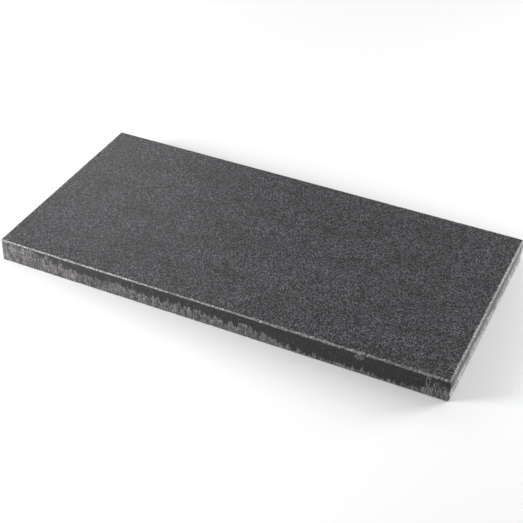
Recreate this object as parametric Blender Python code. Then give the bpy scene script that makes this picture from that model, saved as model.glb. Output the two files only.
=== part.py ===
"""Bench slab for leather work: one solid block of dark granite, modelled in metres with +Z up.

The origin is the centre of the underside. +X runs along the length and +Y across the width, so that
the slab lies on the plane z = 0 and its honed working face is on top. It is cut from a single stone:
there are no feet, no frame and nothing that moves.
"""

import bmesh
import bpy

# Overall size: 24 in by 12 in, 1 1/4 in thick.
LENGTH = 0.6096
WIDTH = 0.3048
THICKNESS = 0.03175

# Each edge is taken off at 45 degrees. A size is the width of the strip taken from either face.
TOP_ARRIS = 0.0016
BOTTOM_ARRIS = 0.0008
CORNER_EASE = 0.0015

# Two edge midpoints closer than this lie at the same height.
SAME_HEIGHT = 1e-6

GRANITE_COLOUR = (0.085, 0.085, 0.092, 1.0)
GRANITE_ROUGHNESS = 0.55
GRANITE_METALLIC = 0.0


def clear_scene():
    for thing in list(bpy.data.objects):
        bpy.data.objects.remove(thing, do_unlink=True)


def granite_material():
    material = bpy.data.materials.new("honed_granite")
    material.use_nodes = True
    shader = material.node_tree.nodes["Principled BSDF"]
    shader.inputs["Base Color"].default_value = GRANITE_COLOUR
    shader.inputs["Roughness"].default_value = GRANITE_ROUGHNESS
    shader.inputs["Metallic"].default_value = GRANITE_METALLIC
    material.diffuse_color = GRANITE_COLOUR
    return material


def add_block(mesh):
    """A plain block, standing on z = 0 with the origin under its centre."""
    bmesh.ops.create_cube(mesh, size=1.0)
    bmesh.ops.scale(mesh, vec=(LENGTH, WIDTH, THICKNESS), verts=mesh.verts)
    bmesh.ops.translate(mesh, vec=(0.0, 0.0, THICKNESS / 2), verts=mesh.verts)


def upright_edges(mesh):
    """The four edges that run from the underside to the working face."""
    return [edge for edge in mesh.edges if abs(edge.verts[0].co.z - edge.verts[1].co.z) > SAME_HEIGHT]


def edges_at(mesh, height):
    """The outline edges of the flat face at this height."""
    return [edge for edge in mesh.edges if all(abs(end.co.z - height) < SAME_HEIGHT for end in edge.verts)]


def take_off(mesh, edges, size):
    """Cuts the edges away at 45 degrees, leaving one flat strip along each."""
    bmesh.ops.bevel(mesh, geom=edges, offset=size, offset_type="OFFSET", segments=1, affect="EDGES")


def granite_slab():
    """The whole stone: the upright corners are eased first, then the arrises run round them unbroken."""
    block = bmesh.new()
    add_block(block)
    take_off(block, upright_edges(block), CORNER_EASE)
    take_off(block, edges_at(block, THICKNESS), TOP_ARRIS)
    take_off(block, edges_at(block, 0.0), BOTTOM_ARRIS)
    bmesh.ops.recalc_face_normals(block, faces=block.faces)
    shape = bpy.data.meshes.new("granite_slab")
    block.to_mesh(shape)
    block.free()
    shape.materials.append(granite_material())
    slab = bpy.data.objects.new("granite_slab", shape)
    bpy.context.scene.collection.objects.link(slab)
    return slab


clear_scene()
granite_slab()
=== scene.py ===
import math
import random

import bmesh
import bpy
from mathutils import Euler, Matrix, Quaternion, Vector, noise


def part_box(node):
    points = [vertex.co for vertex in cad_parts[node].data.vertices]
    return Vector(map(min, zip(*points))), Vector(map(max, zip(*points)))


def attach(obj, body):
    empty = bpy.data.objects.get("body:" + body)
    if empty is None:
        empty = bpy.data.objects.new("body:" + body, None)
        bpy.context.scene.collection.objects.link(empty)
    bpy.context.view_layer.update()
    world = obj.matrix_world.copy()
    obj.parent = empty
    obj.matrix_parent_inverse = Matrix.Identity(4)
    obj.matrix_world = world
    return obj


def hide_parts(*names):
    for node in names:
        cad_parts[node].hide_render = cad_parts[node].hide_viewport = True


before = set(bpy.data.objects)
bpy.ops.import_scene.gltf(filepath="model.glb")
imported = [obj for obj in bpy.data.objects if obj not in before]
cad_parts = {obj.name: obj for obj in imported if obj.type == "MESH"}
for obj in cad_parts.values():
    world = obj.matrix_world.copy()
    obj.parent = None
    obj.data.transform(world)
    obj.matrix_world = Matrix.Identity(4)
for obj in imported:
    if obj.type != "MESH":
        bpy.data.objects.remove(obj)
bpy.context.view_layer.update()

slabLow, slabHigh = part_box("granite_slab")
slabSize = slabHigh - slabLow
slabMiddle = (slabLow + slabHigh) / 2
hair = 1e-5  # heights or places nearer to each other than this are the same
print(f"frame: a slab of {slabSize.x:.4f} x {slabSize.y:.4f} x {slabSize.z:.5f} m")


def arrisAt(height):
    # how far the flat face at this height stops short of the slab's end
    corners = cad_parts["granite_slab"].data.vertices
    return slabHigh.x - max(corner.co.x for corner in corners if abs(corner.co.z - height) < hair)


def cornerCut():
    # how far the long wall stops short of the slab's end
    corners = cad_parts["granite_slab"].data.vertices
    return slabHigh.x - max(corner.co.x for corner in corners if slabHigh.y - corner.co.y < hair)


topArris = arrisAt(slabHigh.z)
footArris = arrisAt(slabLow.z)


def pick(kind, wanted):
    # selects the vertices, edges or faces of the piece in edit mode that pass the test
    mesh = bpy.context.edit_object.data
    bpy.ops.mesh.select_mode(type=kind)
    bpy.ops.mesh.select_all(action="DESELECT")
    shape = bmesh.from_edit_mesh(mesh)
    for part in {"VERT": shape.verts, "EDGE": shape.edges, "FACE": shape.faces}[kind]:
        if wanted(part):
            part.select_set(True)
    shape.select_flush_mode()
    bmesh.update_edit_mesh(mesh)


def runsAlong(edge, axis, longerThan):
    reach = edge.verts[1].co - edge.verts[0].co
    return abs(reach[axis]) > longerThan and abs(reach[axis]) > 0.999 * reach.length


def liesAt(edge, height):
    return all(abs(end.co.z - height) < hair for end in edge.verts)


def onlyActive(piece):
    bpy.ops.object.select_all(action="DESELECT")
    piece.select_set(True)
    bpy.context.view_layer.objects.active = piece


def applyAll(piece):
    onlyActive(piece)
    for modifier in list(piece.modifiers):
        bpy.ops.object.modifier_apply(modifier=modifier.name)


slabLook = {
    "pitch": 0.0011,        # between the columns of small faces along the walls
    "rows": 27,             # rows of them up a wall
    "rim": 0.004,           # short faces kept inside the outline of each flat face
    "tile": 0.012,          # side of the broad faces in the middle of each flat face
    "softening": 0.0002,    # rounding between the arris and its neighbours
    "sawnDepth": 0.00045,   # how far the rough band lies behind the ground part of a wall
    "raggedness": 0.17,     # how far the band's upper limit wanders, as a share of the thickness
    # share of each wall's height that was left rough, from its left end to its right end
    "bands": {
        "front": [(0, 1.0), (0.05, 0.95), (0.13, 0.72), (0.2, 0.52), (0.5, 0.46), (0.58, 0.38),
                  (0.66, 0.25), (0.74, 0.14), (0.92, 0.12), (0.955, 0.38), (0.975, 0.6), (1, 0.6)],
        "right": [(0, 0.5), (0.12, 0.42), (0.5, 0.38), (0.85, 0.42), (1, 0.4)],
        "back": [(0, 0.4), (0.2, 0.46), (0.45, 0.3), (0.7, 0.5), (1, 0.55)],
        "left": [(0, 0.55), (0.4, 0.42), (0.75, 0.6), (1, 1.0)],
    },
    # rough spots outside the bands: middle along and up the wall, half width and height, strength
    "spots": {
        "front": [(0.955, 0.5, 0.012, 0.6, 0.35), (0.575, 0.5, 0.03, 0.14, 0.35),
                  (0.221, 0.5, 0.005, 0.06, 0.8), (0.324, 0.75, 0.012, 0.3, 0.2),
                  (0.68, 0.53, 0.003, 0.09, 0.7), (0.933, 0.62, 0.002, 0.05, 1.0)],
        "right": [(0.3, 0.8, 0.05, 0.12, 0.15)],
        "back": [(0.3, 0.6, 0.02, 0.3, 0.35), (0.62, 0.7, 0.008, 0.1, 0.8)],
        "left": [(0.2, 0.7, 0.05, 0.3, 0.3)],
    },
}


def wallPlace(point):
    # which wall a point belongs to, how far along it lies, from 0 at its left end to 1, and how far in
    room = {
        "front": point.y - slabLow.y,
        "right": slabHigh.x - point.x,
        "back": slabHigh.y - point.y,
        "left": point.x - slabLow.x,
    }
    wall = min(room, key=room.get)
    share = {
        "front": (point.x - slabLow.x) / slabSize.x,
        "right": (point.y - slabLow.y) / slabSize.y,
        "back": (slabHigh.x - point.x) / slabSize.x,
        "left": (slabHigh.y - point.y) / slabSize.y,
    }[wall]
    return wall, share, room[wall]


def along(steps, share):
    # reads a list of (place, value) steps at a place between them
    for (before, low), (after, high) in zip(steps, steps[1:]):
        if share <= after:
            return low + (high - low) * (share - before) / (after - before)
    return steps[-1][1]


def sawnShare(point):
    # 1 where the saw's rough surface is left, 0 where the wall was ground smooth
    wall, share, room = wallPlace(point)
    height = (point.z - slabLow.z) / slabSize.z
    band = along(slabLook["bands"][wall], share)
    lobes = noise.noise(Vector((point.x * 28, point.y * 28, 3.7)))
    spikes = noise.noise(Vector((point.x * 190, point.y * 190, point.z * 20)))
    strokes = noise.noise(Vector((point.x * 430, point.y * 430, point.z * 30)))
    patches = noise.noise(Vector((point.x * 75, point.y * 75, point.z * 110 + 9)))
    ragged = slabLook["raggedness"] * (0.6 * lobes + 0.9 * spikes + 1.2 * strokes + 0.5 * patches)
    rough = 0.5 + (band + ragged - height) / 0.26
    for middle, level, width, tall, strength in slabLook["spots"][wall]:
        distance = math.hypot((share - middle) / width, (height - level) / tall)
        spot = max(0.0, 1 - distance ** 3) * strength * (1 + 1.4 * spikes + 1.4 * strokes)
        rough = max(rough, spot)
    return max(0.0, min(1.0, rough))


def makeBlock():
    bpy.ops.object.select_all(action="DESELECT")
    bpy.ops.mesh.primitive_cube_add(size=1, location=slabMiddle, scale=slabSize)
    bpy.ops.object.transform_apply(location=True, rotation=True, scale=True)
    block = bpy.context.active_object
    block.name = "honed_slab"
    bpy.ops.object.mode_set(mode="EDIT")
    pick("EDGE", lambda edge: runsAlong(edge, 2, hair))
    bpy.ops.mesh.bevel(offset=cornerCut(), segments=1)
    for height, size in ((slabHigh.z, topArris), (slabLow.z, footArris)):
        pick("EDGE", lambda edge: liesAt(edge, height))
        bpy.ops.mesh.bevel(offset=size, segments=1)
    pick("EDGE", lambda edge: edge.calc_face_angle() > math.radians(20))
    bpy.ops.mesh.bevel(offset=slabLook["softening"], segments=2)
    for height in (slabHigh.z, slabLow.z):
        pick("FACE", lambda face: abs(face.calc_center_median().z - height) < hair)
        bpy.ops.mesh.delete(type="ONLY_FACE")
    return block


def divideWalls():
    # columns along both directions, in two rounds, then the rows
    for axis in (0, 1):
        columns = slabSize[axis] / slabLook["pitch"]
        coarse = round(math.sqrt(columns))
        for pieces in (coarse, round(columns / coarse)):
            pick("EDGE", lambda edge: runsAlong(edge, axis, 3 * slabLook["pitch"]))
            bpy.ops.mesh.subdivide(number_cuts=pieces - 1)
    pick("EDGE", lambda edge: runsAlong(edge, 2, slabSize.z / 2))
    bpy.ops.mesh.subdivide(number_cuts=slabLook["rows"] - 1)


def closeFlatFaces():
    # a grid of broad faces fills each flat face, and short faces join it to the outline
    inset = topArris + slabLook["rim"]
    field = Vector((slabSize.x - 2 * inset, slabSize.y - 2 * inset, 1))
    for height in (slabHigh.z, slabLow.z):
        bpy.ops.mesh.primitive_grid_add(
            x_subdivisions=round(field.x / slabLook["tile"]),
            y_subdivisions=round(field.y / slabLook["tile"]),
            size=1, location=(slabMiddle.x, slabMiddle.y, height))
        bpy.ops.transform.resize(value=field, center_override=(slabMiddle.x, slabMiddle.y, height))
        pick("EDGE", lambda edge: edge.is_boundary and liesAt(edge, height)
             and edge.calc_length() > slabLook["tile"] / 2)
        bpy.ops.mesh.subdivide(number_cuts=round(slabLook["tile"] / slabLook["pitch"]) - 1)
        pick("EDGE", lambda edge: edge.is_boundary and liesAt(edge, height))
        bpy.ops.mesh.bridge_edge_loops()
    bpy.ops.mesh.select_all(action="SELECT")
    bpy.ops.mesh.normals_make_consistent(inside=False)
    bpy.ops.object.mode_set(mode="OBJECT")


def roughenWalls(block):
    # the rough band is pushed in behind the ground part by painted weights
    low, high = slabLow.z + footArris - hair, slabHigh.z - topArris + hair
    shares = [sawnShare(corner.co) if low < corner.co.z < high else 0.0 for corner in block.data.vertices]
    block.data.attributes.new("sawnMark", "FLOAT", "POINT")
    block.data.attributes["sawnMark"].data.foreach_set("value", shares)
    painted = block.vertex_groups.new(name="sawn")
    for index, share in enumerate(shares):
        if share > 0:
            painted.add([index], share, "REPLACE")
    recess = block.modifiers.new("recess", "DISPLACE")
    recess.vertex_group = "sawn"
    recess.mid_level = 0
    recess.strength = -slabLook["sawnDepth"]
    block.modifiers.new("triangles", "TRIANGULATE")
    applyAll(block)


chipLook = {
    "seed": 12,
    "crag": 0.2,       # unevenness of a broken face, as a share of its radius
    # wall, level, from and to as shares of the wall, how many, shortest and longest half length
    "runs": [
        ("front", "top", 0.6, 1.0, 110, 0.0018, 0.0048),
        ("front", "top", 0.0, 0.6, 16, 0.001, 0.002),
        ("front", "foot", 0.28, 0.56, 20, 0.0014, 0.0039),
        ("front", "foot", 0.0, 1.0, 16, 0.0014, 0.0045),
        ("right", "top", 0.0, 0.3, 44, 0.0015, 0.0042),
        ("right", "top", 0.3, 1.0, 20, 0.0012, 0.0028),
        ("right", "foot", 0.0, 1.0, 16, 0.0014, 0.0045),
        ("back", "top", 0.0, 1.0, 34, 0.0012, 0.0036),
        ("back", "foot", 0.0, 1.0, 18, 0.0014, 0.0045),
        ("left", "top", 0.0, 1.0, 18, 0.0012, 0.003),
        ("left", "foot", 0.0, 1.0, 10, 0.0014, 0.0045),
    ],
    # scars on the face of a wall: place along and up it, half length, half height and depth
    "scars": [
        ("front", 0.818, 0.78, 0.0075, 0.0045, 0.0006),
        ("front", 0.933, 0.62, 0.0011, 0.0011, 0.0004),
        ("back", 0.36, 0.72, 0.006, 0.0035, 0.0005),
    ],
}


def wallFrame(wall):
    # where a wall's left end stands, the way along it and the way out of it
    return {
        "front": (Vector((slabLow.x, slabLow.y, 0)), Vector((1, 0, 0)), Vector((0, -1, 0)), slabSize.x),
        "right": (Vector((slabHigh.x, slabLow.y, 0)), Vector((0, 1, 0)), Vector((1, 0, 0)), slabSize.y),
        "back": (Vector((slabHigh.x, slabHigh.y, 0)), Vector((-1, 0, 0)), Vector((0, 1, 0)), slabSize.x),
        "left": (Vector((slabLow.x, slabHigh.y, 0)), Vector((0, -1, 0)), Vector((-1, 0, 0)), slabSize.y),
    }[wall]


def makePattern(stone):
    # one craggy ball with a radius of 1, whose faces can be marked as broken stone
    bpy.ops.object.select_all(action="DESELECT")
    bpy.ops.mesh.primitive_ico_sphere_add(subdivisions=2, radius=1)
    pattern = bpy.context.active_object
    pattern.data.materials.append(stone)
    bpy.ops.object.mode_set(mode="EDIT")
    bpy.ops.mesh.select_all(action="SELECT")
    bpy.ops.transform.vertex_random(offset=chipLook["crag"], uniform=0.5, normal=0.5,
                                    seed=chipLook["seed"])
    bpy.ops.object.mode_set(mode="OBJECT")
    pattern.data.attributes.new("brokenMark", "FLOAT", "FACE")
    return pattern


def placeCutter(pattern, dice, middle, wayOut, radii, mark):
    # the ball is turned at random, flattened to its three radii and set in place
    wayAlong = Vector((-wayOut.y, wayOut.x, 0)).normalized()
    wayUp = wayOut.cross(wayAlong)
    turned = Matrix((wayAlong, wayUp, wayOut)).transposed().to_4x4()
    spin = Euler([dice.uniform(0, math.tau) for _ in range(3)]).to_matrix().to_4x4()
    cutter = pattern.copy()
    cutter.data = pattern.data.copy()
    cutter.data.transform(Matrix.Translation(middle) @ turned @ Matrix.Diagonal((*radii, 1)) @ spin)
    cutter.data.attributes["brokenMark"].data.foreach_set("value", [mark] * len(cutter.data.polygons))
    bpy.context.scene.collection.objects.link(cutter)
    return cutter


def chipEdges(block, stone):
    dice = random.Random(chipLook["seed"])
    pattern = makePattern(stone)
    cutters = []
    taken = []
    levels = {
        "top": (slabHigh.z - topArris / 2, topArris, 1),
        "foot": (slabLow.z + footArris / 2, footArris, -1),
    }
    for wall, share, level, half, tall, depth in chipLook["scars"]:
        corner, wayAlong, wayOut, length = wallFrame(wall)
        middle = corner + wayAlong * share * length + Vector((0, 0, slabLow.z + level * slabSize.z))
        taken.append((middle, tall))
        cutters.append(placeCutter(pattern, dice, middle, wayOut, (half, tall, depth), 0.45))
    for wall, level, start, end, count, shortest, longest in chipLook["runs"]:
        corner, wayAlong, wayOut, length = wallFrame(wall)
        height, arris, lift = levels[level]
        diagonal = (wayOut + Vector((0, 0, lift))).normalized()
        for _ in range(count):
            half = shortest + (longest - shortest) * dice.random() ** 2
            share = dice.uniform(start, end)
            middle = corner + wayAlong * share * length - wayOut * arris / 2 + Vector((0, 0, height))
            radii = (half, half * dice.uniform(0.6, 0.9), half * dice.uniform(0.5, 0.8))
            middle += diagonal * radii[2] * dice.uniform(0.5, 0.8)
            # a chip that would run into an earlier one is left out
            if all((middle - other).length > (half + reach) * 1.15 for other, reach in taken):
                taken.append((middle, half))
                cutters.append(placeCutter(pattern, dice, middle, diagonal, radii, 1.0))
    onlyActive(cutters[0])
    for cutter in cutters:
        cutter.select_set(True)
    bpy.ops.object.join()
    chips = bpy.context.active_object
    cut = block.modifiers.new("chips", "BOOLEAN")
    cut.operation = "DIFFERENCE"
    cut.solver = "MANIFOLD"
    cut.object = chips
    applyAll(block)
    for spent in (chips, pattern):
        bpy.data.objects.remove(spent)
    print(f"slab: {len(cutters)} chips broken out of its edges")


def makeSlab(stone):
    block = makeBlock()
    block.data.materials.append(stone)
    divideWalls()
    closeFlatFaces()
    roughenWalls(block)
    chipEdges(block, stone)
    onlyActive(block)
    bpy.ops.object.shade_smooth_by_angle(angle=math.radians(28))
    triangles = sum(len(face.vertices) - 2 for face in block.data.polygons)
    print(f"slab: {triangles} triangles")
    return block


class Wire:
    # one output of a node: sums written on it add Math nodes
    def __init__(self, recipe, node, output=0):
        self.recipe = recipe
        self.node = node
        self.socket = node.outputs[output]

    def out(self, output):
        return Wire(self.recipe, self.node, output)

    def maths(self, operation, *others):
        values = dict(enumerate((self, *others)))
        return self.recipe.add("Math", {"operation": operation}, values)

    def __add__(self, other):
        return self.maths("ADD", other)

    def __mul__(self, other):
        return self.maths("MULTIPLY", other)

    def __sub__(self, other):
        return self.maths("SUBTRACT", other)

    def __rsub__(self, other):
        return self.recipe.add("Math", {"operation": "SUBTRACT"}, {0: other, 1: self})

    __radd__ = __add__
    __rmul__ = __mul__

    def most(self, other):
        return self.maths("MAXIMUM", other)

    def least(self, other):
        return self.maths("MINIMUM", other)

    def absolute(self):
        return self.maths("ABSOLUTE")

    def step(self, low, high):
        # a soft change from 0 at low to 1 at high, which falls where low is the greater of the two
        settings = {"interpolation_type": "SMOOTHSTEP"}
        return self.recipe.add("MapRange", settings, {"Value": self, "From Min": low, "From Max": high})


class Recipe:
    def __init__(self, name):
        self.material = bpy.data.materials.new(name)
        self.material.use_nodes = True
        self.tree = self.material.node_tree
        self.tree.nodes.clear()

    def add(self, kind, settings=None, values=None, output=0):
        node = self.tree.nodes.new("ShaderNode" + kind)
        for key, value in (settings or {}).items():
            if key == "stops":
                self.setStops(node.color_ramp, value)
            else:
                setattr(node, key, value)
        for key, value in (values or {}).items():
            if isinstance(value, Wire):
                self.tree.links.new(value.socket, node.inputs[key])
            else:
                node.inputs[key].default_value = value
        return Wire(self, node, output) if node.outputs else None

    def setStops(self, ramp, stops):
        while len(ramp.elements) < len(stops):
            ramp.elements.new(1)
        for element, (place, grey) in zip(ramp.elements, stops):
            element.position = place
            element.color = (grey, grey, grey, 1)

    def noise(self, where, scale, detail=2.0, roughness=0.5):
        values = {"Vector": where, "Scale": scale, "Detail": detail, "Roughness": roughness}
        return self.add("TexNoise", {}, values)

    def stretched(self, where, stretch):
        return self.add("VectorMath", {"operation": "MULTIPLY"}, {0: where, 1: stretch})

    def mixColours(self, share, first, second):
        return self.add("Mix", {"data_type": "RGBA"}, {0: share, 6: first, 7: second}, 2)


stoneLook = {
    "tint": (0.975, 0.955, 1.062),      # a trace of violet in the grey
    "wallTint": (1.0, 0.99, 1.015),
    "sawnTint": (1.03, 0.985, 0.985),
    "tone": 0.0315,               # scales the reflectance of the whole stone
    "grain": 0.00105,             # width of a crystal
    # factors that lighten each kind of surface, some of them partly painted light as noted below; those
    # of the right wall come on top of the others
    "sawnGain": 2.85,
    # the right wall is lighter partly by its frosted finish and partly by painted light from the right;
    # its rough band gets further painted light from the right and from the floor's bounce
    "rightFrostAndPaintedLight": 1.75,
    "rightSawnPaintedLight": 2.0,
    # the arris is lighter partly by its ground finish and partly by a painted highlight
    "arrisFrostAndPaintedHighlight": 7.0,
    # broken stone is lighter partly as freshly fractured stone and partly by painted light that lifts the
    # shade in the chip hollows
    "brokenPaleAndPaintedLight": 5.0,
    # share of the crystals, from the darkest to the lightest, and their brightness
    "crystals": [(0, 0.05), (0.35, 0.12), (0.5, 0.45), (0.68, 1.9), (0.8, 4.2), (1, 8.0)],
}


def stoneMaterial():
    recipe = Recipe("granite")
    place = recipe.add("TexCoord", {}, {}, "Object")
    axes = recipe.add("SeparateXYZ", {}, {0: place})
    fromEnd = slabHigh.x - axes.out("X").absolute()
    fromSide = slabHigh.y - axes.out("Y").absolute()
    fromTop = slabHigh.z - axes.out("Z")
    fromFoot = axes.out("Z") - slabLow.z
    fromCorner = (fromEnd + fromSide - cornerCut()) * math.sqrt(0.5)
    fromWall = fromEnd.least(fromSide).least(fromCorner)
    skin = slabLook["sawnDepth"] * 1.3
    broken = recipe.add("Attribute", {"attribute_name": "brokenMark"}, {}, "Fac")
    worn = axes.out("X").step(0.04, 0.1).most(fromEnd.step(0.02, 0.006))
    reach = 1 + worn * recipe.noise(place, 420, 3).step(0.42, 0.66) * 0.9
    arris = (1 - ((fromTop + fromWall) * (1 / topArris) - reach).step(0.01, 0.09)) * (1 - broken)
    wall = (1 - fromWall.step(skin, skin * 1.5)) * (1 - arris) * (1 - broken)
    rightWall = (slabHigh.x - axes.out("X")).step(skin * 1.5, skin) * wall
    underside = (1 - fromFoot.step(0.0001, 0.0003)) * (1 - broken)

    warp = recipe.noise(place, 900, 1).out("Color")
    warp = recipe.add("VectorMath", {"operation": "MULTIPLY_ADD"},
                      {0: warp, 1: (0.0009, 0.0009, 0.0009), 2: place})
    crystals = recipe.add("TexVoronoi", {}, {"Vector": warp, "Scale": 1 / stoneLook["grain"]}, "Color")
    lot = recipe.add("SeparateXYZ", {}, {0: crystals}, "X")
    flakes = recipe.add("TexVoronoi", {}, {"Vector": warp, "Scale": 2.3 / stoneLook["grain"]}, "Color")
    smallLot = recipe.add("SeparateXYZ", {}, {0: flakes}, "Y")
    grain = recipe.add("ValToRGB", {"stops": stoneLook["crystals"]}, {0: lot * 0.72 + smallLot * 0.28})
    dust = recipe.noise(place, 2600, 1).maths("MULTIPLY_ADD", 0.9, 0.55)
    strokes = recipe.noise(recipe.stretched(place, (620, 620, 75)), 1, 2)
    fine = recipe.noise(recipe.stretched(place, (1300, 1300, 160)), 1, 2)

    sawnPainted = recipe.add("Attribute", {"attribute_name": "sawnMark"}, {}, "Fac")
    torn = (strokes - 0.5) * 1.5 + (fine - 0.5) * 1.1
    sawn = (sawnPainted + torn).step(0.3, 0.7).most(underside * 0.8)
    smoothWall = wall * (1 - sawn)
    plain = (smoothWall * 0.75).most(sawn * 0.7).most(arris * 0.65).most(broken * 0.45)
    grain = grain + (1 - grain) * plain
    cloud = recipe.noise(place, 24, 2, 0.5).maths("MULTIPLY_ADD", 0.7, 0.65)
    wisps = recipe.noise(recipe.stretched(place, (9, 48, 20)), 1, 4, 0.6).maths("MULTIPLY_ADD", 0.8, 0.6)
    # painted shade: the long walls and their arris grow darker towards the right end, standing in for the
    # falloff of the front-left lamp's light
    paintedFalloff = 1 - axes.out("X").step(-0.3, 0.06) * (1 - fromSide.step(0.002, 0.004)) * 0.45
    blotches = recipe.noise(recipe.stretched(place, (110, 110, 160)), 1, 2)
    tone = grain * dust * cloud * wisps

    # the rough band is lighter by its finish; broken stone is lighter partly by its fresh fracture and
    # partly by painted light lifting the shade in the chip hollows
    gain = 1 + sawn * (stoneLook["sawnGain"] - 1) + broken * (stoneLook["brokenPaleAndPaintedLight"] - 1)
    # painted highlight on the arris, partly its ground finish, dimmed towards the right end by the
    # painted shade
    gain = gain + arris * (stoneLook["arrisFrostAndPaintedHighlight"] - 1) * (0.35 + paintedFalloff * 0.65)
    # painted light from the right on the right wall, partly its frosted finish, and further painted light
    # on its rough band
    gain = gain * (1 + rightWall * (stoneLook["rightFrostAndPaintedLight"] - 1))
    gain = gain * (1 + rightWall * sawn * (stoneLook["rightSawnPaintedLight"] - 1))
    # painted shade on the smooth part of the long walls, darker towards the right end
    gain = gain * (1 + smoothWall * (paintedFalloff - 1))
    strokeTone = 1 + sawn * ((strokes + fine - 1) * 2.4 + (blotches - 0.5) * 1.6)
    strokeTone = strokeTone + smoothWall * (strokes - 0.5) * 0.5
    tone = tone * gain * strokeTone.most(0.15) * stoneLook["tone"]
    bare = smoothWall.most(arris).most(broken)
    tint = recipe.mixColours(bare, (*stoneLook["tint"], 1), (*stoneLook["wallTint"], 1))
    tint = recipe.mixColours(sawn, tint, (*stoneLook["sawnTint"], 1))
    colour = recipe.add("VectorMath", {"operation": "SCALE"}, {0: tint, "Scale": tone})

    smudge = recipe.noise(place, 30, 4, 0.6)
    roughness = 0.36 + smudge * 0.12 + sawn * 0.35 + broken * 0.25 + arris * 0.1 + (dust - 1) * 0.2
    relief = (grain - 1) * 0.1 + dust * 0.2 + sawn * (strokes + fine) * 1.5
    bump = recipe.add("Bump", {}, {"Strength": 0.25, "Distance": 0.0003, "Height": relief})
    shader = recipe.add("BsdfPrincipled", {}, {
        "Base Color": colour, "Roughness": roughness, "Normal": bump, "Specular IOR Level": 0.27})
    recipe.add("OutputMaterial", {}, {"Surface": shader})
    print("stone: material mixed")
    return recipe.material


studioLook = {
    "floorSide": 12.0,
    "floorTone": 0.95,
    "world": 0.45,
    # place, what it points at, side and watts of each square soft box
    "lamps": {
        "front_left_box": ((-1.1, -0.9, 0.5), (-0.1, 0, 0), 0.6, 26),
        "back_left_box": ((-1.1, 1.1, 0.9), (-0.1, 0, 0), 0.8, 4.7),
        "right_box": ((1.2, 0.9, 0.4), (0.3, 0, 0), 0.6, 16),
    },
    # direction it comes from, apparent width in degrees and strength
    "skylight": ((0, 1, 1.2), 50, 0.31),
}
cameraLook = {
    "place": (0.5232, -1.1439, 0.9364),
    "aim": (0.0091, -0.0253, 0.0159),
    "roll": 1.137,
    "lens": 82.08,
}


def makeFloor():
    bpy.ops.object.select_all(action="DESELECT")
    bpy.ops.mesh.primitive_plane_add(size=studioLook["floorSide"], location=(0, 0, slabLow.z - 0.0004))
    floor = bpy.context.active_object
    floor.name = "floor"
    recipe = Recipe("pale_floor")
    tone = studioLook["floorTone"]
    shader = recipe.add("BsdfPrincipled", {}, {"Base Color": (tone, tone, tone, 1), "Roughness": 0.9})
    recipe.add("OutputMaterial", {}, {"Surface": shader})
    floor.data.materials.append(recipe.material)
    print("floor: laid under the slab")


def addLamp(name, kind, place, aim, strength):
    light = bpy.data.lights.new(name, kind)
    light.energy = strength
    lamp = bpy.data.objects.new(name, light)
    lamp.location = place
    lamp.rotation_euler = (Vector(aim) - Vector(place)).to_track_quat("-Z", "Y").to_euler()
    lamp.visible_camera = False
    bpy.context.scene.collection.objects.link(lamp)
    return light


def makeLights():
    world = bpy.data.worlds.new("studio")
    world.use_nodes = True
    backdrop = world.node_tree.nodes["Background"]
    backdrop.inputs["Color"].default_value = (1, 1, 1, 1)
    backdrop.inputs["Strength"].default_value = studioLook["world"]
    bpy.context.scene.world = world
    for name, (place, aim, side, watts) in studioLook["lamps"].items():
        addLamp(name, "AREA", place, aim, watts).size = side
    place, spread, strength = studioLook["skylight"]
    addLamp("skylight", "SUN", place, (0, 0, 0), strength).angle = math.radians(spread)
    print(f"light: {len(studioLook['lamps'])} soft boxes and a skylight")


def makeCamera():
    lens = bpy.data.cameras.new("camera")
    lens.lens = cameraLook["lens"]
    camera = bpy.data.objects.new("camera", lens)
    place = Vector(cameraLook["place"])
    look = (Vector(cameraLook["aim"]) - place).to_track_quat("-Z", "Y")
    camera.location = place
    camera.rotation_euler = (look @ Quaternion((0, 0, 1), math.radians(cameraLook["roll"]))).to_euler()
    bpy.context.scene.collection.objects.link(camera)
    bpy.context.scene.camera = camera
    print("camera: set")


makeCamera()
makeFloor()
makeLights()
slab = makeSlab(stoneMaterial())
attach(slab, "root")
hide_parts("granite_slab")
bpy.context.scene.view_settings.view_transform = "Standard"
